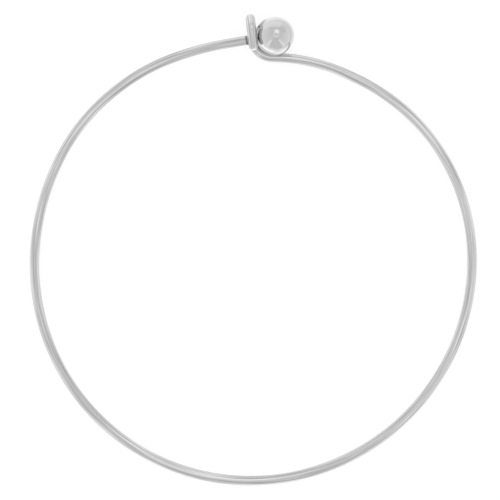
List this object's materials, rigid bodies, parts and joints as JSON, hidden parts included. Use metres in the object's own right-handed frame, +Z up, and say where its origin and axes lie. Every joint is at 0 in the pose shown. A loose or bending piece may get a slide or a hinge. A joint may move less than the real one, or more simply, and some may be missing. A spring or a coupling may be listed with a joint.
{
  "type": "screw bracelet",
  "caption": "Slim round-wire bangle closed by a narrow bent hook at one end and a polished screw-off ball at the other, so that beads can be threaded on.",
  "frame": {"origin": "on the table, in the middle of the hoop, one hoop radius behind the hoop's far point", "axes": "+Y from the far point of the hoop to the clasp, +X to the side of the clasp where the ball is, +Z up from the table that the bangle lies on"},
  "size_m": [0.0701, 0.074, 0.0061],
  "materials": {
    "wire_steel": "polished, with fine drawn lines along the wire",
    "ball_steel": "mirror polished"
  },
  "bodies": {
    "bangle": {"bangle_wire": "wire_steel"},
    "ball": {"screw_ball": "ball_steel"}
  },
  "joints": [
    {"name": "ball_unscrew", "type": "slide", "parent": "bangle", "child": "ball", "axis": [0.9845, 0.165, 0.0601], "range_m": [0, 0.0045]}
  ]
}
